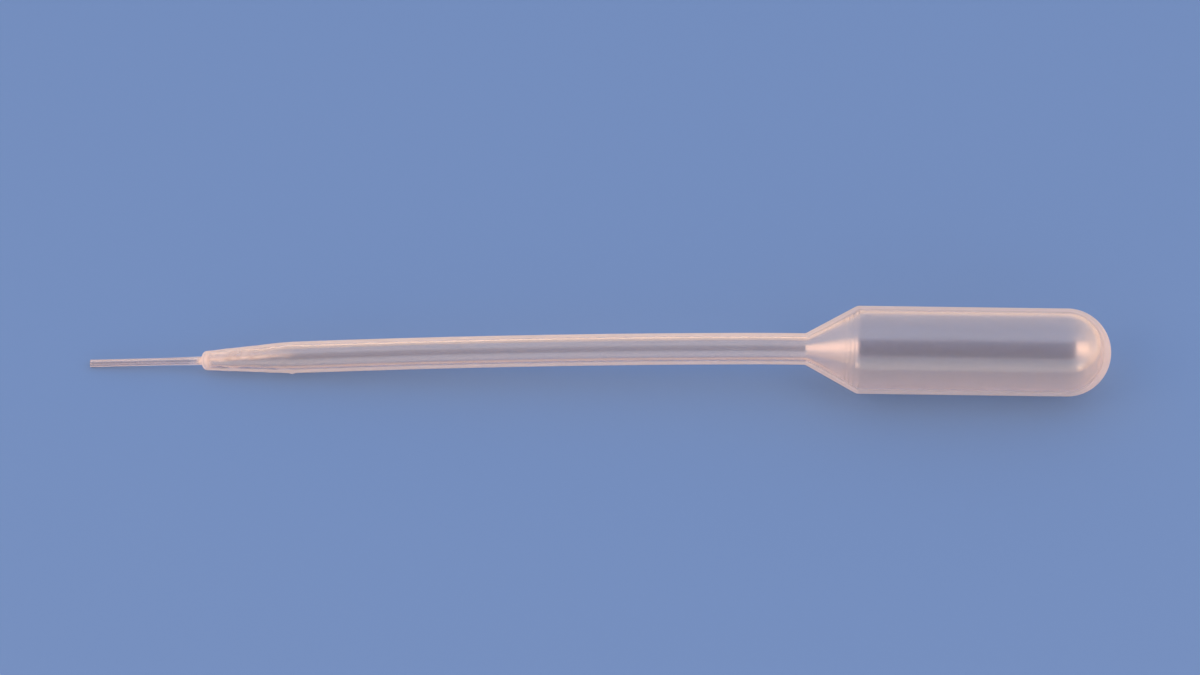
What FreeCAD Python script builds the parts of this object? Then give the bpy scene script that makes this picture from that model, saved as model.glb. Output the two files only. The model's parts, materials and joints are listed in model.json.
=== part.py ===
import FreeCAD, Part
import math
import os

from FreeCAD import Placement, Rotation, Vector

# A dropper pipette, blown in one piece from soft plastic: a squeeze bulb with a round end,
# a cone down to a long stem, a tapered nozzle and a hair-thin capillary tip. It is hollow
# from the bulb to the end of the tip.
#
# It lies as it comes to rest, on the edge of its bulb and the end of its tip, and the
# slight bow of its stem stands upright like an arch. X runs along it towards the round
# end of the bulb, Z is up, and the origin is on the floor under the middle of its length.

# Driving dimensions, in millimetres, with angles in degrees.
BULB_DIAMETER = 12.9
BULB_LENGTH = 30.8            # the straight part, between the cone and the round end
BULB_WALL = 0.5
DOME_WALL = 0.65              # at the very end of the bulb
CONE_ANGLE = 28.8             # slope of the cone, measured from the axis
CONE_EDGE_ROUNDING = 1.4      # where the cone meets the bulb
CONE_ROOT_ROUNDING = 0.9      # where the cone meets the stem

STEM_DIAMETER = 4.62
STEM_LENGTH = 75.8            # from the cone to the nozzle, along its curve
STEM_WALL = 0.65
STEM_STRAIGHT_END = 1.5       # left straight beside the cone, and beside the nozzle
NECK_LENGTH = 8.0             # the stretch next to the cone, which bends more
NECK_BEND = 1.55
STEM_BEND = 3.19              # bow of the rest of the stem

NOZZLE_LENGTH = 12.8
NOZZLE_END_DIAMETER = 2.75    # where its taper would meet its end, unrounded
NOZZLE_END_WALL = 0.45        # side wall at the thin end
NOZZLE_FLOOR = 0.6            # thickness of the end that carries the tip
NOZZLE_END_SLOPE = 15.0       # how far the end leans back from square
NOZZLE_END_ROUNDING = 0.85
NOZZLE_START_ROUNDING = 20.0  # where the taper leaves the stem

TIP_LENGTH = 16.7             # from the nozzle's end, along its curve
TIP_DIAMETER = 1.07
TIP_WALL = 0.235
TIP_FLARE = 0.15              # how much wider the tip is at its root
TIP_FLARE_LENGTH = 4.5
TIP_ROOT_LENGTH = 0.5         # straight, between the nozzle's end and the bend
TIP_ROOT_ROUNDING = 0.2
TIP_BEND_LENGTH = 1.0
TIP_BEND = 1.2                # the tip turns back up by this

MOST_OF_A_RUN = 0.98          # share of a straight run that the roundings at its ends may take

STEM_RADIUS = STEM_DIAMETER / 2
STEM_BORE_RADIUS = STEM_RADIUS - STEM_WALL
TIP_RADIUS = TIP_DIAMETER / 2
TIP_BORE_RADIUS = TIP_RADIUS - TIP_WALL
TIP_ROOT_RADIUS = TIP_RADIUS + TIP_FLARE / 2


def tangent(degrees):
    return math.tan(math.radians(degrees))


def at(x, radius):
    """A point of a section, radius above the axis."""
    return Vector(x, 0, radius)


def line(first, second):
    return Part.LineSegment(first, second).toShape()


def corner_reaches(points, roundings):
    """How far from each corner its rounding starts, held to what the straight runs have room for."""
    wanted = [0.0] * len(points)
    for i in range(1, len(points) - 1):
        turn = (points[i] - points[i - 1]).getAngle(points[i + 1] - points[i])
        wanted[i] = roundings[i] * math.tan(turn / 2)
    reaches = wanted.copy()
    for i in range(len(points) - 1):
        room = MOST_OF_A_RUN * (points[i + 1] - points[i]).Length
        both = wanted[i] + wanted[i + 1]
        if both > room:
            for j in (i, i + 1):
                reaches[j] = min(reaches[j], wanted[j] * room / both)
    return reaches


def rounded_line(*corners):
    """Edges through (x, radius, rounding) corners, with a tangent arc at each inner corner."""
    points = [at(x, radius) for x, radius, _ in corners]
    reaches = corner_reaches(points, [rounding for _, _, rounding in corners])
    edges = []
    start = points[0]
    for before, corner, after, reach in zip(points, points[1:], points[2:], reaches[1:]):
        if reach > 0:
            arriving = (corner - before).normalize()
            leaving = (after - corner).normalize()
            half_turn = arriving.getAngle(leaving) / 2
            radius = reach / math.tan(half_turn)
            inwards = (leaving - arriving).normalize()
            middle = corner + inwards * (radius / math.cos(half_turn) - radius)
            first, last = corner - arriving * reach, corner + leaving * reach
            edges += [line(start, first), Part.Arc(first, middle, last).toShape()]
            start = last
        else:
            edges.append(line(start, corner))
            start = corner
    edges.append(line(start, points[-1]))
    return edges


def quarter_circle(centre_x, radius):
    """The arc from a tube of this radius down to the axis, round a centre on the axis."""
    across = radius * math.sin(math.radians(45))
    return Part.Arc(
        at(centre_x, radius), at(centre_x + across, across), at(centre_x + radius, 0)
    ).toShape()


def turned(edges):
    """The solid that a closed section makes when it turns about the X axis."""
    section = Part.Face(Part.Wire(Part.__sortEdges__(edges)))
    return Part.Solid(section.revolve(Vector(0, 0, 0), Vector(1, 0, 0), 360))


def bent_rod(radius, length, angle):
    """A round rod that starts at the origin, runs towards -X and droops by an angle.

    A negative angle lifts it.
    """
    disc = Part.Face(Part.Wire(Part.makeCircle(radius, Vector(0, 0, 0), Vector(1, 0, 0))))
    bend_radius = length / math.radians(angle)
    pivot = Vector(0, -math.copysign(1, angle), 0)
    return disc.revolve(Vector(0, 0, -bend_radius), pivot, abs(angle))


def bent_tube(radius, bore, length, angle):
    """A tube that follows the same path as bent_rod."""
    return bent_rod(radius, length, angle).cut(bent_rod(bore, length, angle))


def after_straight(length):
    """How the end of a straight stretch lies from its start."""
    return Placement(Vector(-length, 0, 0), Rotation())


def after_bend(length, angle):
    """How the end of a bent stretch lies from its start."""
    turn = math.radians(angle)
    bend_radius = length / turn
    along = bend_radius * math.sin(turn)
    drop = bend_radius * (1 - math.cos(turn))
    return Placement(Vector(-along, 0, -drop), Rotation(Vector(0, 1, 0), -angle))


def bulb_stations():
    """Where the cone starts, where it ends and where the round end begins, from the stem's side."""
    root = STEM_STRAIGHT_END
    edge = root + (BULB_DIAMETER / 2 - STEM_RADIUS) / tangent(CONE_ANGLE)
    return root, edge, edge + BULB_LENGTH


def bulb():
    """Bulb, cone and the straight start of the stem, from the plane x = 0 towards +X."""
    root, edge, dome = bulb_stations()
    radius = BULB_DIAMETER / 2
    inner_radius = radius - BULB_WALL
    inner_dome = dome - (DOME_WALL - BULB_WALL)
    set_back = tangent(CONE_ANGLE / 2)
    outside = rounded_line(
        (0, STEM_RADIUS, 0),
        (root, STEM_RADIUS, CONE_ROOT_ROUNDING),
        (edge, radius, CONE_EDGE_ROUNDING),
        (dome, radius, 0),
    )
    inside = rounded_line(
        (0, STEM_BORE_RADIUS, 0),
        (root + STEM_WALL * set_back, STEM_BORE_RADIUS, CONE_ROOT_ROUNDING + STEM_WALL),
        (edge + BULB_WALL * set_back, inner_radius, max(CONE_EDGE_ROUNDING - BULB_WALL, 0)),
        (inner_dome, inner_radius, 0),
    )
    ends = [
        quarter_circle(dome, radius),
        quarter_circle(inner_dome, inner_radius),
        line(at(dome + radius, 0), at(inner_dome + inner_radius, 0)),
        line(at(0, STEM_RADIUS), at(0, STEM_BORE_RADIUS)),
    ]
    return turned(outside + inside + ends)


def nozzle_end():
    """How far the nozzle's own piece reaches from its start, to the plane where the tip bends."""
    end = STEM_STRAIGHT_END + NOZZLE_LENGTH
    nose = (NOZZLE_END_DIAMETER / 2 - TIP_ROOT_RADIUS) * tangent(NOZZLE_END_SLOPE)
    return end, end + nose, end + nose + TIP_ROOT_LENGTH


def nozzle():
    """The straight end of the stem, the nozzle and the root of the tip, from x = 0 towards -X."""
    end, nose, reach = nozzle_end()
    end_radius = NOZZLE_END_DIAMETER / 2
    inner_end_radius = end_radius - NOZZLE_END_WALL
    floor = end - NOZZLE_FLOOR
    funnel = floor + (inner_end_radius - TIP_BORE_RADIUS) * tangent(NOZZLE_END_SLOPE)
    outside = rounded_line(
        (0, STEM_RADIUS, 0),
        (-STEM_STRAIGHT_END, STEM_RADIUS, NOZZLE_START_ROUNDING),
        (-end, end_radius, NOZZLE_END_ROUNDING),
        (-nose, TIP_ROOT_RADIUS, TIP_ROOT_ROUNDING),
        (-reach, TIP_ROOT_RADIUS, 0),
    )
    inside = rounded_line(
        (0, STEM_BORE_RADIUS, 0),
        (-STEM_STRAIGHT_END, STEM_BORE_RADIUS, NOZZLE_START_ROUNDING),
        (-floor, inner_end_radius, max(NOZZLE_END_ROUNDING - NOZZLE_END_WALL, 0)),
        (-funnel, TIP_BORE_RADIUS, TIP_ROOT_ROUNDING),
        (-reach, TIP_BORE_RADIUS, 0),
    )
    ends = [
        line(at(0, STEM_RADIUS), at(0, STEM_BORE_RADIUS)),
        line(at(-reach, TIP_ROOT_RADIUS), at(-reach, TIP_BORE_RADIUS)),
    ]
    return turned(outside + inside + ends)


def tip_straight_length():
    """What the nozzle's nose, the root and the bend leave of the tip's length."""
    end, _, reach = nozzle_end()
    return TIP_LENGTH - (reach - end) - TIP_BEND_LENGTH


def tip():
    """The straight part of the capillary tip, flared at its root, from x = 0 towards -X."""
    length = tip_straight_length()
    outside = rounded_line(
        (0, TIP_ROOT_RADIUS, 0), (-TIP_FLARE_LENGTH, TIP_RADIUS, 0), (-length, TIP_RADIUS, 0)
    )
    inside = [line(at(0, TIP_BORE_RADIUS), at(-length, TIP_BORE_RADIUS))]
    ends = [
        line(at(0, TIP_ROOT_RADIUS), at(0, TIP_BORE_RADIUS)),
        line(at(-length, TIP_RADIUS), at(-length, TIP_BORE_RADIUS)),
    ]
    return turned(outside + inside + ends)


def bow_length():
    """What the neck and the straight ends leave of the stem's length."""
    return STEM_LENGTH - NECK_LENGTH - 2 * STEM_STRAIGHT_END


def places():
    """How the bow, the nozzle, the tip's bend and the tip lie from the end of the bulb's piece."""
    _, _, nozzle_reach = nozzle_end()
    bow = after_bend(NECK_LENGTH, NECK_BEND)
    nozzle_start = bow * after_bend(bow_length(), STEM_BEND)
    tip_bend = nozzle_start * after_straight(nozzle_reach)
    tip_start = tip_bend * after_bend(TIP_BEND_LENGTH, -TIP_BEND)
    return bow, nozzle_start, tip_bend, tip_start


def placed(piece, place):
    piece.Placement = place
    return piece


def level_pipette():
    """The whole pipette with its bulb's axis along X, in one solid."""
    bow, nozzle_start, tip_bend, tip_start = places()
    stretches = [
        bent_tube(STEM_RADIUS, STEM_BORE_RADIUS, NECK_LENGTH, NECK_BEND),
        placed(bent_tube(STEM_RADIUS, STEM_BORE_RADIUS, bow_length(), STEM_BEND), bow),
        placed(nozzle(), nozzle_start),
        placed(
            bent_tube(TIP_ROOT_RADIUS, TIP_BORE_RADIUS, TIP_BEND_LENGTH, -TIP_BEND), tip_bend
        ),
        placed(tip(), tip_start),
    ]
    return bulb().fuse(stretches).removeSplitter()


def resting_angle():
    """How far the level pipette tips before the first point of its front is on the floor.

    Where the front hangs clear, it comes down over the bulb's edge. Where it would reach
    below the floor, it lifts the bulb onto its round end.
    """
    _, nozzle_start, _, tip_start = places()
    end, _, _ = nozzle_end()
    stem_end = nozzle_start.multVec(Vector(-STEM_STRAIGHT_END, 0, -STEM_RADIUS))
    nozzle_end_edge = nozzle_start.multVec(Vector(-end, 0, -NOZZLE_END_DIAMETER / 2))
    tip_end_edge = tip_start.multVec(Vector(-tip_straight_length(), 0, -TIP_RADIUS))
    _, edge, dome = bulb_stations()
    angles = []
    for point in (stem_end, nozzle_end_edge, tip_end_edge):
        height = point.z + BULB_DIAMETER / 2
        pivot_x = edge if height > 0 else dome
        angles.append(math.degrees(math.atan2(height, pivot_x - point.x)))
    return min(angles)


def pipette():
    """The pipette as it rests on the floor, centred over the origin."""
    whole = level_pipette()
    whole.rotate(Vector(0, 0, 0), Vector(0, 1, 0), -resting_angle())
    box = whole.optimalBoundingBox(False, False)
    whole.translate(Vector(-box.Center.x, 0, -box.ZMin))
    return whole


os.makedirs("parts", exist_ok=True)
shape = pipette()
shape.exportStep("parts/pipette.step")
box = shape.optimalBoundingBox(False, False)
print(f"pipette: {len(shape.Solids)} solid, {len(shape.Faces)} faces, valid {shape.isValid()}")
print(f"size {box.XLength:.3f} x {box.YLength:.3f} x {box.ZLength:.3f} mm")
print(f"volume {shape.Volume:.1f} mm3, centre of mass {shape.Solids[0].CenterOfMass}")
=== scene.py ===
# %% [markdown]
# A dropper pipette in milky plastic
#
# The real thing is blown in one piece from soft polyethylene: a round-ended squeeze bulb,
# a cone, a long stem with a slight bow, a tapered nozzle and a hair-thin capillary tip.
# It is hollow all the way, so what the eye sees is two skins, an outer and an inner one,
# with less than a millimetre of cloudy plastic between them. The bright double lines along
# its edges are light that is caught between those two skins. A solid rod with some
# see-through paint can't show them, so this scene models both skins and lets the
# renderer do the rest.

# %% Load the frame
import json
import math

import bmesh
import bpy
from mathutils import Matrix, Vector, noise


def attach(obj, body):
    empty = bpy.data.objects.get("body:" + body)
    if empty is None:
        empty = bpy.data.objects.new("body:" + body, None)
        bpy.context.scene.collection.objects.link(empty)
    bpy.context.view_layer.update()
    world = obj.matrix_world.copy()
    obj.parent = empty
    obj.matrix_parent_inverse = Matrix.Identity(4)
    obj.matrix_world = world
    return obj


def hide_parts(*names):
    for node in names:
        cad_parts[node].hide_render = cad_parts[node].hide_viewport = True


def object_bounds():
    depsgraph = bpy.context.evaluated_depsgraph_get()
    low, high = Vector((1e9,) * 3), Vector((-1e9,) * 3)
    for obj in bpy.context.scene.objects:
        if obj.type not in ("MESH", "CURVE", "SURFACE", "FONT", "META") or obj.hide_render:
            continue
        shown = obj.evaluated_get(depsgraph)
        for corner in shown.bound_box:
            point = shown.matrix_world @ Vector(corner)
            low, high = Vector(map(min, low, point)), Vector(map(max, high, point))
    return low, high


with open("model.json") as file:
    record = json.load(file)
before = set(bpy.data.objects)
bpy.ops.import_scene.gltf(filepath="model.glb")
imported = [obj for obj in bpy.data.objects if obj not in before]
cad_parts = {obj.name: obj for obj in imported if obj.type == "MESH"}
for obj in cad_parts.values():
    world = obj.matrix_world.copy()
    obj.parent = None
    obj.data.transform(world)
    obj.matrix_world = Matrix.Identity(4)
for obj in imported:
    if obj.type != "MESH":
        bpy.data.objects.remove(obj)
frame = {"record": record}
cad_low, cad_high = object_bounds()
print("the packed model reaches from", cad_low[:], "to", cad_high[:])

# %% [markdown]
# Sizes of the bulb and the cone
#
# Two of the record's mounts say where the bulb and the tip lie, how wide they are and
# which way they point. The rest of the sizes are the ones that the pipette is moulded to.
# They are written in metres, as everything in this file is.

# %% Bulb and cone
MM = 0.001
mounts = {mount["name"]: mount for mount in frame["record"]["mounts"]}

bulb_radius = mounts["bulb"]["dims"]["r_mm"] * MM
bulb_length = 30.8 * MM
bulb_wall = 0.5 * MM
dome_wall = 0.65 * MM
cone_slope = math.radians(28.8)
cone_edge_rounding = 1.4 * MM
cone_root_rounding = 0.9 * MM
print(f"bulb {2 * bulb_radius / MM:.2f} mm wide")

# %% [markdown]
# Sizes of the stem
#
# The stem is a plain tube, but it isn't straight: a soft tube this long and thin keeps a
# slight bow from its making and its packing. A third of the bend is in the neck, right
# beside the cone, which is a tenth of the length.

# %% Stem
stem_radius = 2.31 * MM
stem_wall = 0.65 * MM
stem_length = 75.8 * MM
stem_straight_end = 1.5 * MM
neck_length = 8.0 * MM
neck_bend = math.radians(1.55)
stem_bend = math.radians(3.19)
bow = math.degrees(neck_bend + stem_bend)
print(f"stem {2 * stem_radius / MM:.2f} mm wide, bowed by {bow:.1f} degrees")

# %% [markdown]
# Sizes of the nozzle and the tip
#
# The end of the stem is heated and pulled, which draws it into a nozzle with a rounded
# nose and a capillary tip. The capillary is a little wider at its root than at its end.

# %% Nozzle and tip
nozzle_length = 12.8 * MM
nozzle_end_radius = 1.375 * MM
nozzle_end_wall = 0.45 * MM
nozzle_floor = 0.6 * MM
nozzle_end_slope = math.radians(15)
nozzle_end_rounding = 0.85 * MM
nozzle_start_rounding = 20 * MM
drawn_stem_length = 4 * MM             # of the stem that is drawn out with the nozzle

tip_radius = mounts["tip"]["dims"]["r_mm"] * MM
tip_wall = 0.235 * MM
tip_flare = 0.075 * MM
tip_root_radius = tip_radius + tip_flare
tip_length = 16.7 * MM
tip_flare_length = 4.5 * MM
tip_root_length = 0.5 * MM
tip_root_rounding = 0.2 * MM
tip_bend_length = 1.0 * MM
tip_bend = math.radians(-1.2)
tip_bore = tip_radius - tip_wall
print(f"tip {2 * tip_radius / MM:.2f} mm wide, with a bore of {2 * tip_bore / MM:.2f} mm")

# %% [markdown]
# Stations along the axis
#
# The section is drawn straight first, as the mould is cut, and bent afterwards. Its axis
# is X. X is 0 where the bulb's own straight piece ends and the bow begins, the bulb lies
# on the plus side and the tip on the minus side.

# %% Stations
cone_root = stem_straight_end
cone_edge = cone_root + (bulb_radius - stem_radius) / math.tan(cone_slope)
dome_start = cone_edge + bulb_length
bow_end = -(stem_length - 2 * stem_straight_end)
nozzle_start = bow_end - stem_straight_end
nozzle_end = nozzle_start - nozzle_length
nose = nozzle_end - (nozzle_end_radius - tip_root_radius) * math.tan(nozzle_end_slope)
tip_bend_start = nose - tip_root_length
tip_bend_end = tip_bend_start - tip_bend_length
flare_end = tip_bend_end - tip_flare_length
tip_end = nozzle_end - tip_length
drawn_from = nozzle_start + drawn_stem_length
print(f"straight length {(dome_start + bulb_radius - tip_end) / MM:.2f} mm")

# %% [markdown]
# Drawing a section
#
# A half section is a chain of edges in the XZ plane. Two moves draw all of it: run
# straight from the last point, by extruding it, and go round a corner in a true arc, by
# spinning it about the arc's middle. A run is cut into steps, so that it can bend, and
# into finer ones where the tube was pulled, because that part isn't quite even.

# %% The two moves
LONGEST_STEP = 1.5 * MM
DRAWN_STEP = 0.25 * MM
ARC_STEP = math.radians(4)
LEAST_ARC_STEPS = 6


def at(x, radius):
    return Vector((x, 0, radius))


def run_to(bm, vert, target):
    """Extrudes the last vertex straight to target, in even steps."""
    way = target - vert.co
    longest = DRAWN_STEP if max(vert.co.x, target.x) <= drawn_from else LONGEST_STEP
    steps = max(1, math.ceil(way.length / longest))
    for _ in range(steps):
        made = bmesh.ops.extrude_vert_indiv(bm, verts=[vert])
        vert = made["verts"][0]
        bmesh.ops.translate(bm, verts=[vert], vec=way / steps)
    return vert


def arc_round(bm, vert, middle, turn):
    """Spins the last vertex about middle. The turn is positive from +X towards +Z."""
    steps = max(LEAST_ARC_STEPS, math.ceil(abs(turn) / ARC_STEP))
    made = bmesh.ops.spin(
        bm, geom=[vert], cent=middle, axis=(0, -1, 0), angle=turn, steps=steps, use_merge=False
    )
    return next(last for last in made["geom_last"] if isinstance(last, bmesh.types.BMVert))


# %% [markdown]
# Rounding the corners
#
# Each corner of the chain says how far it is rounded. The arc meets its two runs without
# a kink, so the highlights flow over the corners as they do on moulded plastic. A bevel
# on the finished mesh would do it too, but it can't give a corner inside another one the
# matching radius that keeps the wall even.

# %% Runs and corners
def draw(bm, vert, corners):
    """Draws on from vert through (x, radius, rounding) corners, the last of which isn't rounded."""
    points = [vert.co.copy()] + [at(x, radius) for x, radius, _ in corners]
    for before, corner, after, (_, _, rounding) in zip(points, points[1:], points[2:], corners):
        arriving, leaving = (corner - before).normalized(), (after - corner).normalized()
        turn = math.atan2(arriving.x * leaving.z - arriving.z * leaving.x, arriving.dot(leaving))
        reach = rounding * math.tan(abs(turn) / 2)
        vert = run_to(bm, vert, corner - arriving * reach)
        if reach > 0:
            left = Vector((-arriving.z, 0, arriving.x)) * math.copysign(rounding, turn)
            vert = arc_round(bm, vert, vert.co + left, turn)
    return run_to(bm, vert, points[-1])


# %% [markdown]
# Both skins in one chain
#
# The chain starts on the axis at the round end of the bulb, runs along the outside to the
# end of the tip, turns in over the tip's cut edge and comes back along the inside. It ends
# on the axis again. Spun all the way round, such a chain gives one closed skin, as the
# real piece has, with no seam between outside and inside.

# %% The outside
half = math.tan(cone_slope / 2)

OUTSIDE = [
    (cone_edge, bulb_radius, cone_edge_rounding),
    (cone_root, stem_radius, cone_root_rounding),
    (drawn_from, stem_radius, 0),
    (nozzle_start, stem_radius, nozzle_start_rounding),
    (nozzle_end, nozzle_end_radius, nozzle_end_rounding),
    (nose, tip_root_radius, tip_root_rounding),
    (tip_bend_end, tip_root_radius, 0),
    (flare_end, tip_radius, 0),
    (tip_end, tip_radius, 0),
]
print(f"{len(OUTSIDE)} corners outside")

# %% The inside
stem_bore = stem_radius - stem_wall
bulb_bore = bulb_radius - bulb_wall
inner_dome_start = dome_start - (dome_wall - bulb_wall)
inner_nozzle_radius = nozzle_end_radius - nozzle_end_wall
floor_start = nozzle_end + nozzle_floor
funnel_end = floor_start - (inner_nozzle_radius - tip_bore) * math.tan(nozzle_end_slope)

INSIDE = [
    (tip_end, tip_bore, 0),
    (funnel_end, tip_bore, tip_root_rounding),
    (floor_start, inner_nozzle_radius, nozzle_end_rounding - nozzle_end_wall),
    (nozzle_start, stem_bore, nozzle_start_rounding),
    (drawn_from, stem_bore, 0),
    (cone_root + stem_wall * half, stem_bore, cone_root_rounding + stem_wall),
    (cone_edge + bulb_wall * half, bulb_bore, cone_edge_rounding - bulb_wall),
    (inner_dome_start, bulb_bore, 0),
]
print(f"{len(INSIDE)} corners inside")

# %% [markdown]
# Spinning the chain
#
# The chain is spun round the axis, as clay is on a wheel. The doubled points at the two
# poles and along the closing seam are merged, and the normals are made to point out of
# the plastic, which on the inner skin is towards the axis.

# %% Draw and spin
AROUND = 144
SAME_POINT = 0.0005 * MM


def spun_skins():
    """The straight pipette, both of its skins in one closed mesh."""
    bm = bmesh.new()
    vert = bm.verts.new(at(dome_start + bulb_radius, 0))
    vert = arc_round(bm, vert, at(dome_start, 0), math.pi / 2)
    vert = draw(bm, vert, OUTSIDE + INSIDE)
    arc_round(bm, vert, at(inner_dome_start, 0), -math.pi / 2)
    bmesh.ops.spin(
        bm, geom=list(bm.verts) + list(bm.edges), cent=(0, 0, 0), axis=(1, 0, 0),
        angle=2 * math.pi, steps=AROUND, use_merge=True,
    )
    bmesh.ops.remove_doubles(bm, verts=bm.verts, dist=SAME_POINT)
    bmesh.ops.recalc_face_normals(bm, faces=bm.faces)
    return bm


skins = spun_skins()
print(f"{len(skins.faces)} faces, open edges {sum(edge.is_boundary for edge in skins.edges)}")

# %% [markdown]
# Walls that aren't quite even
#
# Plastic that is pulled while it is hot comes out a little wavy, and the two skins aren't
# wavy in the same way. That is what breaks the lines of light in the nozzle into streaks.
# Bump could shade such waves but can't bend what is seen through them, so the points
# themselves move, by a smooth noise of five hundredths of a millimetre.

# %% Uneven walls
UNEVEN_LENGTH, UNEVEN_HEIGHT = 1.8 * MM, 0.05 * MM
UNEVEN_STRETCH = 1.6         # the waves are longer along the pull than round it
UNEVEN_FADE = 1 * MM         # before the nozzle's end


def share_of(value, start, end):
    """How far value has come from start to end, kept between 0 and 1."""
    return min(max((value - start) / (end - start), 0), 1)


def uneven(bm):
    """Moves the nozzle's points in or out a little, each skin in its own way."""
    bm.normal_update()
    for vert in bm.verts:
        x, y, z = vert.co
        where = share_of(x, drawn_from, nozzle_start)
        where *= share_of(x, nozzle_end, nozzle_end + UNEVEN_FADE)
        if where > 0:
            wave = noise.noise(Vector((x, UNEVEN_STRETCH * y, UNEVEN_STRETCH * z)) / UNEVEN_LENGTH)
            vert.co += vert.normal * UNEVEN_HEIGHT * wave * where


uneven(skins)
print(f"volume {skins.calc_volume() / MM**3:.1f} mm3")

# %% [markdown]
# A nub where the nozzle begins
#
# A speck of plastic stands on the front of the real one, low down, just where the taper
# starts. It is part of the skin, not a thing stuck on it, so the points near its middle
# are pushed out in a smooth bump.

# %% The nub
nub_lean = math.radians(-36.5)
nub_outwards = Vector((0, -math.cos(nub_lean), math.sin(nub_lean)))
nub_radius, nub_height = 0.42 * MM, 0.16 * MM
nub_reach = 2 * nub_radius             # nothing is left of the bump there
nub_x, nub_sunk = nozzle_start + 0.26 * MM, 0.03 * MM
nub_middle = at(nub_x, 0) + nub_outwards * (stem_radius - nub_sunk)


def bump_out(bm):
    """Pushes the skin out round the nub's middle."""
    near = [vert for vert in bm.verts if (vert.co - nub_middle).length < nub_reach]
    for vert in near:
        away = (vert.co - nub_middle).length / nub_radius
        vert.co += nub_outwards * nub_height * math.exp(-2 * away**2)
    print(f"nub: {len(near)} points moved")


bump_out(skins)

# %% [markdown]
# Where pulling has clouded the plastic, and the nozzle's painted highlight
#
# Polyethylene turns whiter where it is pulled or folded. On the nozzle that is the nose. A veil
# over the nozzle's upper side, with a brighter streak along its lower edge, is a painted highlight:
# milk laid where the real nozzle catches the light. Where both lie follows the shape, so they are
# written on the points, as a float layer, and the material reads it from there by its name.

# %% The side with the painted highlight
painted_light_lean = math.radians(53.5)       # of the painted highlight's side, from straight up towards the back
painted_light_up = Vector((0, math.sin(painted_light_lean), math.cos(painted_light_lean)))
MILK_AND_HIGHLIGHT_MOST = 0.62                      # how milky the nose and the painted streak are at most
MILK_AND_HIGHLIGHT_END, PAINTED_HIGHLIGHT_FADE = 14 * MM, 8 * MM            # from the nozzle's end towards the stem
PAINTED_HIGHLIGHT_START = (-0.4 * MM, 0.1 * MM)                 # where the painted highlight begins and where it is full
PAINTED_HIGHLIGHT_LOW_EDGE, PAINTED_HIGHLIGHT_DRIFT = -0.2 * MM, 0.03          # its lower edge, and how that slants
PAINTED_HIGHLIGHT_STRENGTH, PAINTED_HIGHLIGHT_SOFTNESS = 0.4, 0.2 * MM                    # its strength, and how soft that edge is
HIGHLIGHT_STREAK_MIDDLE, HIGHLIGHT_STREAK_WIDTH = 0.25 * MM, 0.25 * MM
SPOT_LENGTH, SPOT_SWAY = 1.4 * MM, 0.1 * MM


# Painted highlight: a milky veil and a brighter streak on the side that catches the light.
def painted_highlight(place, along):
    """The painted highlight on the nozzle's upper side: a spotted veil and the streak along its
    edge.
    """
    spots = noise.noise(place / SPOT_LENGTH)
    above = place.dot(painted_light_up) - PAINTED_HIGHLIGHT_LOW_EDGE - PAINTED_HIGHLIGHT_DRIFT * along + SPOT_SWAY * spots
    streak = math.exp(-((above - HIGHLIGHT_STREAK_MIDDLE) / HIGHLIGHT_STREAK_WIDTH) ** 2)
    ends = share_of(along, MILK_AND_HIGHLIGHT_END, MILK_AND_HIGHLIGHT_END - PAINTED_HIGHLIGHT_FADE) * share_of(along, *PAINTED_HIGHLIGHT_START)
    return max(share_of(above, 0, PAINTED_HIGHLIGHT_SOFTNESS) * PAINTED_HIGHLIGHT_STRENGTH, streak) * ends * (1 + spots)


# %% [markdown]
# The milky bulb, and its painted light
#
# The bulb is only faintly milky. Low on its front, opposite the nozzle's painted highlight, the
# milk is painted light: that side is made whiter so that it shows lit, as the real one does. Over
# its round end it is a little milkier, partly because the wall is thicker there and partly as
# painted glow: with every wall equally clear, the dark room shows through that end, which on a real
# bulb glows.

# %% How milky the bulb is, with its painted light
PAINTED_LIGHT_BELOW, MILK_AND_GLOW_END = 0.085, 0.16
BELOW_RANGE = (0.2, 0.65)              # in bulb radii, away from the side of the nozzle's painted highlight
END_RANGE = (1.2 * MM, 3.2 * MM)       # past the dome's start


# Painted light: milk on the lower front, and partly painted glow on the round end.
def bulb_milk_and_painted_light(place):
    """How milky the wall of the cone and the bulb is: painted light low on the front, and milk and
    painted glow over the round end.
    """
    below = share_of(-place.dot(painted_light_up) / bulb_radius, *BELOW_RANGE)
    end = share_of(place.x - dome_start, *END_RANGE)
    return max(PAINTED_LIGHT_BELOW * below, MILK_AND_GLOW_END * end)


# %% [markdown]
# Writing it on the points
#
# Each point says how much milk and painted light it carries. On the nozzle and its nose that is the
# painted highlight or the nose's own cloud, whichever is more, and on the cone and the bulb it is
# their painted light and milk. The tip and most of the stem stay clear.

# %% The clouded nose, and writing down the painted light
NOSE_MIDDLE, NOSE_HALF, NOSE_FADE = 0.1 * MM, 0.4 * MM, 0.5 * MM
NOSE_REACH = 1.5 * MM                  # how far past the nozzle's end its cloud is written


def write_milk_and_painted_light(bm):
    """Writes on each point its milk and painted light."""
    layer = bm.verts.layers.float.new("cloudy")
    for vert in bm.verts:
        along = vert.co.x - nozzle_end
        if -NOSE_REACH < along < MILK_AND_HIGHLIGHT_END:
            from_nose = max(abs(along - NOSE_MIDDLE) - NOSE_HALF, 0)
            on_nose = math.exp(-((from_nose / NOSE_FADE) ** 2))
            # the greater of the nose's own milk and the painted highlight
            vert[layer] = MILK_AND_HIGHLIGHT_MOST * max(painted_highlight(vert.co, along), on_nose)
        elif vert.co.x > cone_root:
            # the cone's and the bulb's painted light and milk
            vert[layer] = bulb_milk_and_painted_light(vert.co)
    print(f"{sum(vert[layer] > 0 for vert in bm.verts)} cloudy points")


write_milk_and_painted_light(skins)

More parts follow.
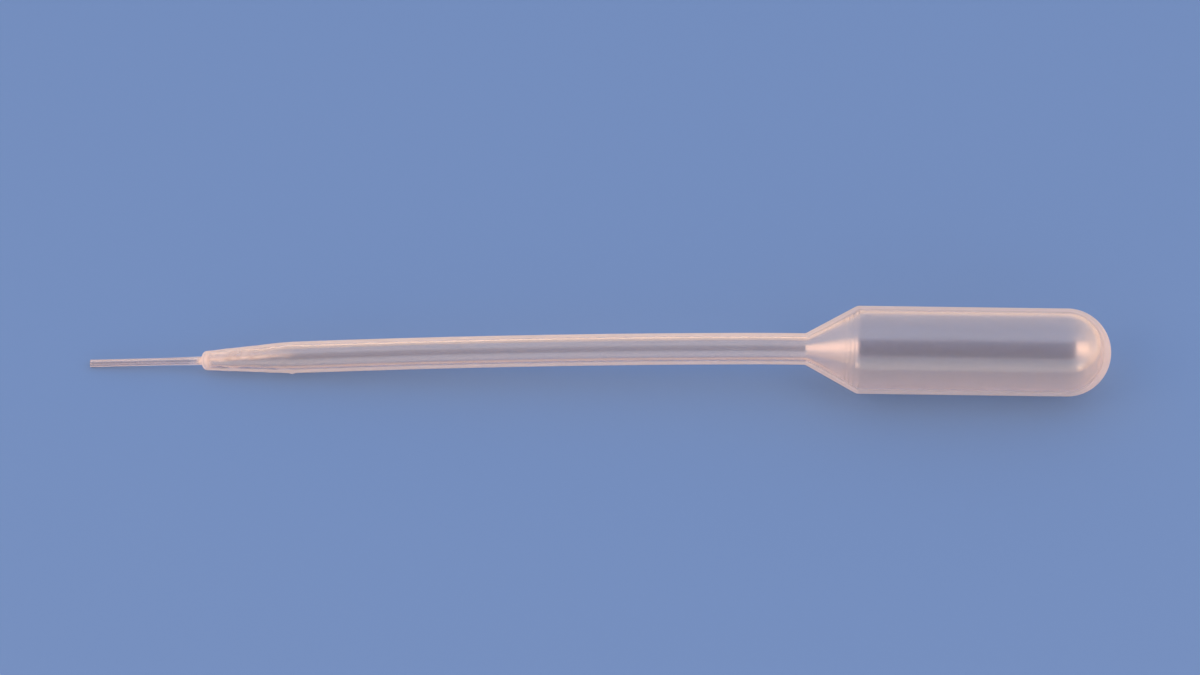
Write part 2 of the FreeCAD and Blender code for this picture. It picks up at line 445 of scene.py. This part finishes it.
# %% [markdown]
# Bending it
#
# Two hands bend a straw by turning each slice of it a little further than the last. The
# same happens here: each slice of the mesh keeps its shape and goes where the bent axis
# takes it. The neck beside the cone bends most, the stem has a long even bow, and the
# thin tip turns back up at its root.

# %% The bent axis
BENDS = [  # how far from X = 0 a bend starts, how long it is, and its angle
    (0.0, neck_length, neck_bend),
    (neck_length, -bow_end - neck_length, stem_bend),
    (-tip_bend_start, tip_bend_length, tip_bend),
]


def slice_place(x):
    """Where the bent axis takes the slice of the straight section at x."""
    place = Matrix.Identity(4)
    reached = 0.0
    for start, length, angle in BENDS:
        into = min(-x - start, length)
        if into <= 0:
            break
        turn = angle * into / length
        radius = length / angle
        place = (
            place
            @ Matrix.Translation((reached - start, 0, 0))
            @ Matrix.Translation((-radius * math.sin(turn), 0, -radius * (1 - math.cos(turn))))
            @ Matrix.Rotation(-turn, 4, "Y")
        )
        reached = start + into
    return place @ Matrix.Translation((min(x + reached, 0) if x < 0 else x, 0, 0))


print(f"the tip hangs {-slice_place(tip_end).translation.z / MM:.2f} mm below the bulb's axis")

# %% Bend both skins
for vert in skins.verts:
    across = Vector((0, vert.co.y, vert.co.z))
    vert.co = slice_place(vert.co.x) @ across
print(f"volume {skins.calc_volume() / MM**3:.1f} mm3")

# %% [markdown]
# Setting it down
#
# The record's mount on the bulb gives the middle of its straight part and the way its
# axis points. The mesh is turned and moved so that its own bulb lies there. The object
# itself stays at the origin, unturned, so that the material's pattern stays in place.

# %% Place and hand over
bulb_axis = Vector(mounts["bulb"]["axis"])
lean = math.atan2(bulb_axis.z, bulb_axis.x)
bulb_middle = at((cone_edge + cone_edge_rounding * half + dome_start) / 2, 0)
place = (
    Matrix.Translation(mounts["bulb"]["pos_m"])
    @ Matrix.Rotation(-lean, 4, "Y")
    @ Matrix.Translation(-bulb_middle)
)
bmesh.ops.transform(skins, matrix=place, verts=skins.verts)
bmesh.ops.recalc_face_normals(skins, faces=skins.faces)
for face in skins.faces:
    face.smooth = True

mesh = bpy.data.meshes.new("pipette_skins")
skins.to_mesh(mesh)
skins.free()
pipette = bpy.data.objects.new("pipette_skins", mesh)
bpy.context.scene.collection.objects.link(pipette)
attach(pipette, "root")
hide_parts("pipette")
print(f"{pipette.name}: {len(mesh.polygons)} faces")

# %% [markdown]
# Writing shader maths as sums
#
# A finish is a few patterns added and multiplied together. One small class wraps a node's
# output, so that the sums read as sums: every operator adds the Math node that it needs.
# Its place method adds any other node.

# %% Sockets to reckon with
class Socket:
    """An output of a node, to be used in sums. With no output yet, it only places nodes."""

    def __init__(self, tree, output=None):
        self.tree, self.output = tree, output

    def place(self, kind, settings=None, output=0, **sockets):
        """Adds a node with its settings, and sets or links its sockets, named or as _0, _1."""
        node = self.tree.nodes.new(kind)
        for name, value in (settings or {}).items():
            if name == "stops":
                set_stops(node.color_ramp.elements, value)
            else:
                setattr(node, name, value)
        for name, value in sockets.items():
            into = node.inputs[int(name[1:]) if name[0] == "_" else name.replace("_", " ")]
            if isinstance(value, Socket):
                self.tree.links.new(value.output, into)
            else:
                into.default_value = value
        return Socket(self.tree, node.outputs[output])

    def maths(self, operation, first, second):
        return self.place("ShaderNodeMath", {"operation": operation}, _0=first, _1=second)

    def __add__(self, other):
        return self.maths("ADD", self, other)

    def __sub__(self, other):
        return self.maths("SUBTRACT", self, other)

    def __rsub__(self, other):
        return self.maths("SUBTRACT", other, self)

    def __mul__(self, other):
        return self.maths("MULTIPLY", self, other)

    __radd__ = __add__


def set_stops(elements, stops):
    """Gives a colour ramp its stops, each a position and a colour with an alpha."""
    while len(elements) < len(stops):
        elements.new(1.0)
    for element, (position, colour) in zip(elements, stops):
        element.position, element.color = position, colour


# %% [markdown]
# Two helpers for patterns
#
# A smooth step turns a measure into a soft-edged mask. The one for the parts of a vector
# only saves words.

# %% Masks and parts
def step(value, start, end):
    """Goes smoothly from 0 to 1 as value goes from start to end, upwards or downwards."""
    return value.place(
        "ShaderNodeMapRange", {"interpolation_type": "SMOOTHSTEP"},
        Value=value, From_Min=start, From_Max=end,
    )


def part(vector, name):
    return vector.place("ShaderNodeSeparateXYZ", output=name, _0=vector)


# %% [markdown]
# Colour, painted light and shade along the length
#
# The plastic is the same all over. A colour ramp along X makes the nose warmer and whiter, where
# its wall is thick and was pulled. On the cone and the bulb's round end its warmer, whiter tone is
# painted light, standing in for the lamps' warm glow there, and over the wide thin-walled bulb,
# where one looks through four skins with a lot of air between, its greyer tone is painted shade.
# The roughness is in its alpha. The stops are at the ends of the tip, the nozzle, the cone and the
# bulb.

# %% Colour, painted light and roughness along X
TINT_AND_PAINTED_LIGHT_ALONG = [  # mm from the tip's end, the colour, the roughness
    (0, (0.90, 0.83, 0.81), 0.12),
    (14, (0.90, 0.83, 0.81), 0.12),
    (15.3, (0.97, 0.91, 0.88), 0.18),
    (17.5, (0.90, 0.85, 0.83), 0.15),
    (29, (0.90, 0.85, 0.81), 0.12),
    (100, (0.90, 0.85, 0.81), 0.12),
    (106, (0.98, 0.90, 0.84), 0.12),
    (111.5, (0.98, 0.90, 0.84), 0.12),
    (113.5, (0.77, 0.765, 0.79), 0.15),
    (143, (0.77, 0.765, 0.79), 0.15),
    (148, (0.97, 0.88, 0.79), 0.12),
    (150, (0.99, 0.90, 0.79), 0.12),
]
whole_length = cad_high.x - cad_low.x


def lengthwise(x, stops):
    """A ramp over the pipette's length: its colour, and its alpha."""
    share = (x - cad_low.x) * (1 / whole_length)
    stops = [(mm * MM / whole_length, (*colour, alpha)) for mm, colour, alpha in stops]
    ramp = x.place("ShaderNodeValToRGB", {"stops": stops}, _0=share)
    return ramp, Socket(x.tree, ramp.output.node.outputs["Alpha"])


# %% [markdown]
# The skin's own relief
#
# Up close, moulded polyethylene has an orange-peel skin, faint marks along the way it was
# drawn, and on the wide end of the cone a few rings left by the mould. The rings are three
# hundredths of a millimetre high and the rest is finer still, far too fine for geometry,
# so a Bump node carries all three. The rings are the tops of a sine wave, sharpened by a
# power, with flats between them.

# %% Relief
PEEL_SCALE, PEEL = 700.0, 0.008 * MM
MARK_SCALE, MARK_STRETCH, MARKS = 900.0, 0.06, 0.006 * MM
RING_PITCH, RING_HEIGHT, RING_SHARPNESS = 0.62 * MM, 0.030 * MM, 5.0
RINGS_FROM, RINGS_TO = 34.6 * MM, 38.0 * MM        # along X
RINGS_RISE, RINGS_FALL = 1.5 * MM, 0.3 * MM


def skin_relief(where, x):
    """The height of the skin in metres, as a bumped normal."""
    peel = where.place("ShaderNodeTexNoise", Vector=where, Scale=PEEL_SCALE, Detail=2.0)
    drawn = where.place("ShaderNodeMapping", _0=where, Scale=(MARK_STRETCH, 1.0, 1.0))
    marks = where.place("ShaderNodeTexNoise", Vector=drawn, Scale=MARK_SCALE, Detail=1.0)
    wave = x.place("ShaderNodeMath", {"operation": "SINE"}, _0=x * (2 * math.pi / RING_PITCH))
    rings = x.maths("POWER", wave * 0.5 + 0.5, RING_SHARPNESS)
    rising = step(x, RINGS_FROM, RINGS_FROM + RINGS_RISE)
    on_cone = rising * step(x, RINGS_TO + RINGS_FALL, RINGS_TO)
    height = peel * PEEL + marks * MARKS + rings * on_cone * RING_HEIGHT
    return where.place("ShaderNodeBump", Height=height, Distance=1.0)


# %% [markdown]
# Cloudy edges
#
# Seen edge-on, the wall is several times as deep as it is thick, and its little haze adds
# up to a bright milky line. A volume inside the plastic would do this too, but slowly and
# with a lot of noise. Here the skin itself turns from clear to milky as it turns away from
# the eye, which the Layer Weight node measures. The milky part scatters light from both of
# its sides: a Diffuse shader for the near one and a Translucent shader for the far one.
# A second ramp says how strong that is along the length and where it begins, and how
# glossy the skin is.

# %% The haze of a wall
HAZE_COLOUR = (0.95, 0.88, 0.84, 1)
HAZE_BEHIND = 0.5                      # how much of it scatters to the far side
HAZE_WIDTH = 0.18
WALL_ALONG = [  # mm from the tip's end; most haze, how edge-on it begins, gloss; unused alpha
    (0, (0.35, 0.36, 0.60), 1),
    (14, (0.35, 0.36, 0.60), 1),
    (17, (0.85, 0.29, 0.60), 1),
    (105, (0.85, 0.29, 0.60), 1),
    (112, (0.72, 0.49, 0.85), 1),
    (144, (0.72, 0.49, 0.90), 1),
    (148, (0.65, 0.42, 1.00), 1),
    (150, (0.70, 0.24, 1.00), 1),
]


def haze(relief, most, begins):
    """The milky shader, and how much of it shows."""
    near = relief.place("ShaderNodeBsdfDiffuse", Color=HAZE_COLOUR, Normal=relief)
    far = relief.place("ShaderNodeBsdfTranslucent", Color=HAZE_COLOUR, Normal=relief)
    milk = relief.place("ShaderNodeMixShader", _0=HAZE_BEHIND, _1=near, _2=far)
    edge_on = relief.place("ShaderNodeLayerWeight", output="Facing", Blend=0.5)
    wall = step(edge_on - begins, 0, HAZE_WIDTH) * most
    # reads the milk and painted light written on the points
    painted_and_real_milk = relief.place("ShaderNodeAttribute", {"attribute_name": "cloudy"}, output="Fac")
    return milk, relief.maths("MAXIMUM", wall, painted_and_real_milk)


# %% [markdown]
# Milky polyethylene
#
# Low-density polyethylene is almost clear, with a little haze in it. The surface shader is
# therefore mostly transmission, with the plastic's own index of refraction, so the two
# skins bend, reflect and trap light as the real ones do. The haze is what is left over,
# and the sheen, a thin scattering layer that shows most on a slant. A coat gives the gloss
# of the skin that cooled against the mould.
#
# Glass in Cycles stops the lamps' own rays. Here a Mix Shader lets them through the skins,
# dimmed a little by each, so the inside is lit and the shadow is as pale as a thin
# plastic's.

# %% The plastic
POLYETHYLENE_IOR = 1.51
HAZE_IN_BULK = 0.04
LET_THROUGH = (0.85, 0.85, 0.86, 1)    # how much of a lamp's light gets past each skin


def milky_plastic():
    material = bpy.data.materials.new("milky_plastic")
    material.use_nodes = True
    tree = material.node_tree
    tree.nodes.remove(tree.nodes["Principled BSDF"])
    where = Socket(tree).place("ShaderNodeTexCoord", output="Object")
    x = part(where, "X")
    # the colour paints warm light on the cone and the round end, and shade over the bulb
    colour, roughness = lengthwise(x, TINT_AND_PAINTED_LIGHT_ALONG)
    wall, _ = lengthwise(x, WALL_ALONG)
    most, begins, gloss = (
        wall.place("ShaderNodeSeparateColor", output=name, Color=wall)
        for name in ("Red", "Green", "Blue")
    )
    relief = skin_relief(where, x)
    plastic = relief.place(
        "ShaderNodeBsdfPrincipled", Normal=relief, Base_Color=colour, Roughness=roughness,
        IOR=POLYETHYLENE_IOR, Transmission_Weight=1 - HAZE_IN_BULK,
        Coat_Weight=gloss, Coat_Roughness=0.22, Coat_IOR=1.7,
        Sheen_Weight=0.7, Sheen_Roughness=0.5, Sheen_Tint=(1.0, 0.88, 0.82, 1),
    )
    milk, haze_and_painted_light = haze(relief, most, begins)
    # mixes in the milk: the edge haze, the nose's cloud and the painted light
    cloudy = relief.place("ShaderNodeMixShader", _0=haze_and_painted_light, _1=plastic, _2=milk)
    let_through = relief.place("ShaderNodeBsdfTransparent", Color=LET_THROUGH)
    lamp_ray = relief.place("ShaderNodeLightPath", output="Is Shadow Ray")
    skin = relief.place("ShaderNodeMixShader", _0=lamp_ray, _1=cloudy, _2=let_through)
    tree.links.new(skin.output, tree.nodes["Material Output"].inputs["Surface"])
    return material


pipette.data.materials.append(milky_plastic())
print(f"{len(pipette.active_material.node_tree.nodes)} nodes in the plastic")

# %% [markdown]
# The floor
#
# The pipette lies on a sheet of pale blue paper. It is plain on purpose: matt, one colour,
# and so wide that its edge is never seen. Milky plastic shows what is behind it, so the
# floor's blue is part of the look of the pipette too.

# %% Paper
FLOOR_HALF = 6.0
PAPER = (0.18, 0.32, 0.61, 1)
PAPER_ROUGHNESS, PAPER_GLOSS = 0.9, 0.1


def make_floor():
    bm = bmesh.new()
    bmesh.ops.create_grid(bm, x_segments=1, y_segments=1, size=FLOOR_HALF)
    mesh = bpy.data.meshes.new("floor")
    bm.to_mesh(mesh)
    bm.free()
    material = bpy.data.materials.new("floor_paper")
    material.use_nodes = True
    paper = material.node_tree.nodes["Principled BSDF"].inputs
    paper["Base Color"].default_value = PAPER
    paper["Roughness"].default_value = PAPER_ROUGHNESS
    paper["Specular IOR Level"].default_value = PAPER_GLOSS
    mesh.materials.append(material)
    return bpy.data.objects.new("floor", mesh)


floor = make_floor()
bpy.context.scene.collection.objects.link(floor)
print(f"floor {floor.dimensions.x:.0f} m wide")

# %% [markdown]
# Two softboxes
#
# A clear round thing shows its lamps as streaks, so their shape and softness matter more
# than their strength. Two large ones stand left and right above the pipette. The cone and
# the dome face sideways enough to mirror them, while the straight bulb and stem mirror
# only what is above and in front, which is why those stay free of hot streaks. Each
# lamp's face fades outwards and towards its ends, so no streak has a hard edge.

# %% Softboxes
LAMP_WARMTH = (1.0, 0.55, 0.27)
LAMP_STRENGTH = 4.0
LAMP_LIFT, LAMP_SWING = 68, 54         # degrees
LAMP_DISTANCE = 0.8
LAMP_WIDTH, LAMP_HEIGHT = 0.80, 0.75
FADES_FROM = 0.4                       # of the lamp's width, counted from its inner edge
centre = (cad_low + cad_high) / 2


def fade_face(tree):
    """Makes a lamp brightest along its inner edge, fading outwards and towards both ends."""
    face = Socket(tree).place("ShaderNodeNewGeometry", output="Parametric")
    outwards = step(part(face, "X"), 1.0, FADES_FROM)
    off_middle = face.place("ShaderNodeMath", {"operation": "ABSOLUTE"}, _0=part(face, "Y") - 0.5)
    to_ends = step(off_middle, 0.5, 0.0)
    tree.links.new((outwards * to_ends).output, tree.nodes["Emission"].inputs["Strength"])


def softbox(name, swing):
    """A lamp facing the pipette, lifted from the front up and over, then swung out sideways."""
    data = bpy.data.lights.new(name, "AREA")
    data.shape = "RECTANGLE"
    data.size, data.size_y = LAMP_WIDTH, LAMP_HEIGHT
    data.color = LAMP_WARMTH
    data.energy = LAMP_STRENGTH * math.pi * LAMP_WIDTH * LAMP_HEIGHT
    data.use_nodes = True
    fade_face(data.node_tree)
    light = bpy.data.objects.new(name, data)
    light.matrix_world = (
        Matrix.Translation(centre)
        @ Matrix.Rotation(math.radians(90 - LAMP_LIFT), 4, "X")
        @ Matrix.Rotation(math.radians(swing), 4, "Y")
        @ Matrix.Translation((0, 0, LAMP_DISTANCE))
        @ Matrix.Rotation(math.pi if swing < 0 else 0, 4, "Z")
    )
    light.visible_camera = False
    bpy.context.scene.collection.objects.link(light)
    print(f"{name}: {data.energy:.1f} W")


for side, sign in (("left", -1), ("right", 1)):
    softbox("softbox_" + side, sign * LAMP_SWING)

# %% [markdown]
# The room round it
#
# Everything that isn't a lamp is the world's background, made from the direction of view:
# walls that are cooler to the sides, a warm glow low down all round, and a dark gap high
# up in front, which is what leaves the grey band along the middle of the bulb and the
# stem. Each of them is a soft mask on x, y or z.

# %% Colours of the room
WALL, SIDE_WALL = (0.85, 0.92, 1.06, 1), (0.60, 0.86, 1.20, 1)
GLOW = (1.0, 0.68, 0.46, 1)
ROOM, HORIZON, ENDS, FRONT = 0.74, 1.75, 2.4, 1.9


def mix_colours(share, first, second):
    return share.place(
        "ShaderNodeMix", {"data_type": "RGBA"}, output=2, _0=share, _6=first, _7=second
    )


# %% Masks of the room
# Each pair says where a mask begins and where it is full, on one part of the direction.
GAP_FORWARD, GAP_LOW, GAP_HIGH = (-0.02, -0.16), (0.56, 0.64), (1.0, 0.97)
GLOW_FORWARD, GLOW_HEIGHT = (0.1, -0.3), (0.42, 0.08)
GAP_SIDE, SIDE_WALL_SIDE = (0.45, 0.32), (0.35, 0.60)
FRONT_SIDE, BESIDE_SIDE, ENDS_SIDE = (0.72, 0.58), (0.68, 0.80), (0.86, 0.98)
GLOW_IN_GAP, GLOW_BESIDE = 0.12, 0.4   # how much of the glow is left there


def room_masks(x, y, z):
    """How far sideways each direction points, and how far it lies in each part of the room."""
    sideways = x.place("ShaderNodeMath", {"operation": "ABSOLUTE"}, _0=x)
    in_front = step(y, *GAP_FORWARD) * step(sideways, *GAP_SIDE)
    gap = in_front * step(z, *GAP_LOW) * step(z, *GAP_HIGH)
    low_down = step(z, *GLOW_HEIGHT)
    glow = low_down * (1.0 - in_front * (1 - GLOW_IN_GAP))
    facing = step(y, *GLOW_FORWARD)
    front = glow * facing * step(sideways, *FRONT_SIDE)
    beside = facing * step(sideways, *BESIDE_SIDE) * (1 - GLOW_BESIDE)
    ends = low_down * step(sideways, *ENDS_SIDE)
    horizon = glow - glow * beside
    return sideways, gap, glow, horizon, front, ends


# %% The room
def room():
    world = bpy.data.worlds.new("room")
    bpy.context.scene.world = world
    world.use_nodes = True
    tree = world.node_tree
    way = Socket(tree).place("ShaderNodeTexCoord", output="Generated")
    masks = room_masks(part(way, "X"), part(way, "Y"), part(way, "Z"))
    sideways, gap, glow, horizon, front, ends = masks
    walls = mix_colours(step(sideways, *SIDE_WALL_SIDE), WALL, SIDE_WALL)
    colour = mix_colours(glow, walls, GLOW)
    warm = horizon * (HORIZON - ROOM) + front * FRONT + ends * (ENDS - HORIZON)
    strength = (1.0 - gap) * (ROOM + warm)
    background = tree.nodes["Background"].inputs
    tree.links.new(colour.output, background["Color"])
    tree.links.new(strength.output, background["Strength"])
    print(f"{len(tree.nodes)} nodes in the room")


room()

# %% [markdown]
# The camera
#
# A long lens from high up in front keeps the two ends of the pipette the same size. The
# camera looks down by a little more than half a right angle, and aims just above the
# middle of the piece.

# %% Camera
AZIMUTH, ELEVATION = math.radians(0.95), math.radians(53.5)
VIEW_WIDTH = 175.92 * MM
LENS, SENSOR = 300, 36                 # millimetres
AIM_ABOVE, AIM_RIGHT = 1.29 * MM, 0.06 * MM


def make_camera():
    data = bpy.data.cameras.new("camera")
    data.lens = LENS
    data.sensor_width = SENSOR
    camera = bpy.data.objects.new("camera", data)
    back = Vector((
        math.sin(AZIMUTH) * math.cos(ELEVATION),
        -math.cos(AZIMUTH) * math.cos(ELEVATION),
        math.sin(ELEVATION),
    ))
    camera.rotation_mode = "QUATERNION"
    camera.rotation_quaternion = back.to_track_quat("Z", "Y")
    up = camera.rotation_quaternion @ Vector((0, 1, 0))
    aim = centre + up * AIM_ABOVE + Vector((AIM_RIGHT, 0, 0))
    camera.location = aim + back * VIEW_WIDTH * LENS / SENSOR
    bpy.context.scene.collection.objects.link(camera)
    bpy.context.scene.camera = camera
    print(f"camera {(camera.location - centre).length:.2f} m away")


make_camera()
bpy.context.scene.view_settings.view_transform = "Standard"
